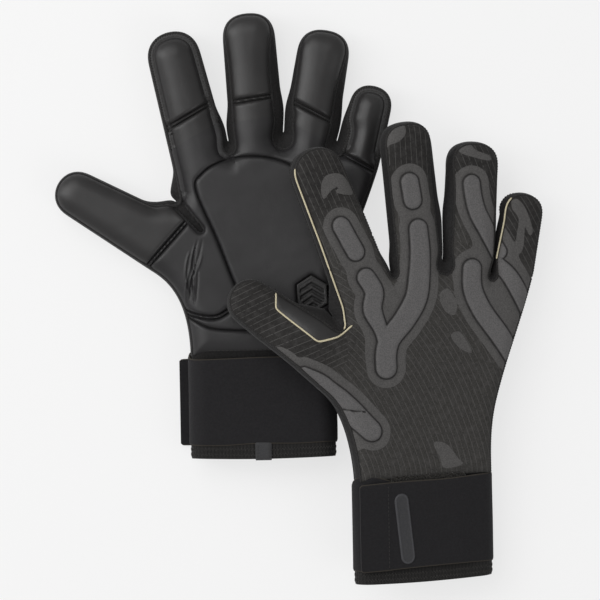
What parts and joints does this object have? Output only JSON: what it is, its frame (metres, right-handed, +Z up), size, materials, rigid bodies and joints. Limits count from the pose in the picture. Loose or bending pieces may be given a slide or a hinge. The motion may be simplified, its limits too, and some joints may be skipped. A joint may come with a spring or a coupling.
{
  "type": "goalkeeper gloves",
  "caption": "Pair of padded goalkeeper gloves with latex palms, embossed knit backs and wrap-over wrist straps, the right one leaning on the left.",
  "frame": {"origin": "on the floor, under the middle of the pair as it lies", "axes": "+Y from the cuffs to the fingertips, +X to the right seen from above with the thumbs to the left, +Z up"},
  "size_m": [0.312, 0.364, 0.066],
  "materials": {
    "latex": "smooth black latex foam, satin",
    "moulded_rubber": "black moulded rubber, satin",
    "knit_back": "dark charcoal neoprene with embossed grey foam",
    "gusset_fabric": "black stretch fabric",
    "elastic_strap": "black woven elastic",
    "rib_knit": "charcoal ribbed knit",
    "tape": "charcoal woven tape",
    "loop_pile": "black loop pile"
  },
  "bodies": {
    "left_hand": {"left_backhand_panel": "knit_back", "left_thumb_side_gusset": "gusset_fabric", "left_little_side_gusset": "gusset_fabric", "left_thumb_index_web": "gusset_fabric", "left_index_middle_web": "gusset_fabric", "left_middle_ring_web": "gusset_fabric", "left_ring_little_web": "gusset_fabric", "left_finger_root_pad": "latex", "left_palm_centre_pad": "latex", "left_thumb_ball_pad": "latex", "left_heel_panel": "latex", "left_heel_grip": "moulded_rubber", "left_little_shell": "knit_back", "left_little_pad": "latex", "left_cuff_sleeve": "rib_knit", "left_cuff_hem": "rib_knit", "left_pull_tab": "tape", "left_strap": "elastic_strap", "left_loop_patch": "loop_pile"},
    "left_thumb": {"left_thumb_wrap": "latex", "left_thumb_shell": "knit_back", "left_thumb_pad": "latex"},
    "left_index": {"left_index_shell": "knit_back", "left_index_pad": "latex"},
    "left_middle": {"left_middle_shell": "knit_back", "left_middle_pad": "latex"},
    "left_ring": {"left_ring_shell": "knit_back", "left_ring_pad": "latex"},
    "left_strap_flap": {"left_strap_flap": "elastic_strap", "left_strap_badge": "moulded_rubber"},
    "right_hand": {"right_backhand_panel": "knit_back", "right_thumb_side_gusset": "gusset_fabric", "right_little_side_gusset": "gusset_fabric", "right_thumb_index_web": "gusset_fabric", "right_index_middle_web": "gusset_fabric", "right_middle_ring_web": "gusset_fabric", "right_ring_little_web": "gusset_fabric", "right_finger_root_pad": "latex", "right_palm_centre_pad": "latex", "right_thumb_ball_pad": "latex", "right_heel_panel": "latex", "right_heel_grip": "moulded_rubber", "right_cuff_sleeve": "rib_knit", "right_cuff_hem": "rib_knit", "right_pull_tab": "tape", "right_strap": "elastic_strap", "right_loop_patch": "loop_pile"},
    "right_thumb": {"right_thumb_wrap": "latex", "right_thumb_shell": "knit_back", "right_thumb_pad": "latex"},
    "right_index": {"right_index_shell": "knit_back", "right_index_pad": "latex"},
    "right_middle": {"right_middle_shell": "knit_back", "right_middle_pad": "latex"},
    "right_ring": {"right_ring_shell": "knit_back", "right_ring_pad": "latex"},
    "right_little": {"right_little_shell": "knit_back", "right_little_pad": "latex"},
    "right_strap_flap": {"right_strap_flap": "elastic_strap", "right_strap_badge": "moulded_rubber"}
  },
  "joints": [
    {"name": "left_thumb_flex", "type": "hinge", "parent": "left_hand", "child": "left_thumb", "pos_m": [-0.08541, 0.03451, 0.026], "axis": [0.4909, 0.8712, 0], "range_deg": [0, 50]},
    {"name": "left_index_flex", "type": "hinge", "parent": "left_hand", "child": "left_index", "pos_m": [-0.07058, 0.11721, 0.026], "axis": [0.9681, 0.2504, 0], "range_deg": [0, 70]},
    {"name": "left_middle_flex", "type": "hinge", "parent": "left_hand", "child": "left_middle", "pos_m": [-0.02923, 0.1278, 0.026], "axis": [0.9963, 0.0854, 0], "range_deg": [0, 70]},
    {"name": "left_ring_flex", "type": "hinge", "parent": "left_hand", "child": "left_ring", "pos_m": [0.0085, 0.11947, 0.026], "axis": [0.9866, -0.1633, 0], "range_deg": [0, 70]},
    {"name": "right_glove_lift", "type": "slide", "parent": "left_hand", "child": "right_hand", "axis": [0, 0, 1], "range_m": [0, 0.12]},
    {"name": "right_thumb_flex", "type": "hinge", "parent": "right_hand", "child": "right_thumb", "pos_m": [0.02429, -0.04112, 0.0581], "axis": [-0.583, -0.8021, 0.1292], "range_deg": [-35, 0]},
    {"name": "right_index_flex", "type": "hinge", "parent": "right_hand", "child": "right_index", "pos_m": [0.02783, 0.04523, 0.06046], "axis": [-0.8972, -0.3758, 0.2319], "range_deg": [-35, 0]},
    {"name": "right_middle_flex", "type": "hinge", "parent": "right_hand", "child": "right_middle", "pos_m": [0.07442, 0.05758, 0.04814], "axis": [-0.9581, -0.1233, 0.2584], "range_deg": [-35, 0]},
    {"name": "right_ring_flex", "type": "hinge", "parent": "right_hand", "child": "right_ring", "pos_m": [0.10362, 0.04801, 0.01277], "axis": [-0.9633, 0.0368, 0.266], "range_deg": [0, 70]},
    {"name": "right_little_flex", "type": "hinge", "parent": "right_hand", "child": "right_little", "pos_m": [0.13025, 0.0197, 0.00436], "axis": [-0.9476, 0.1755, 0.267], "range_deg": [0, 70]},
    {"name": "left_strap_peel", "type": "hinge", "parent": "left_hand", "child": "left_strap_flap", "pos_m": [0.01804, -0.06391, 0.001], "axis": [0.0192, -0.9998, 0], "range_deg": [0, 90]},
    {"name": "right_strap_peel", "type": "hinge", "parent": "right_hand", "child": "right_strap_flap", "pos_m": [0.12227, -0.1395, 0.02635], "axis": [-0.0555, 0.997, 0.0537], "range_deg": [0, 150]}
  ]
}
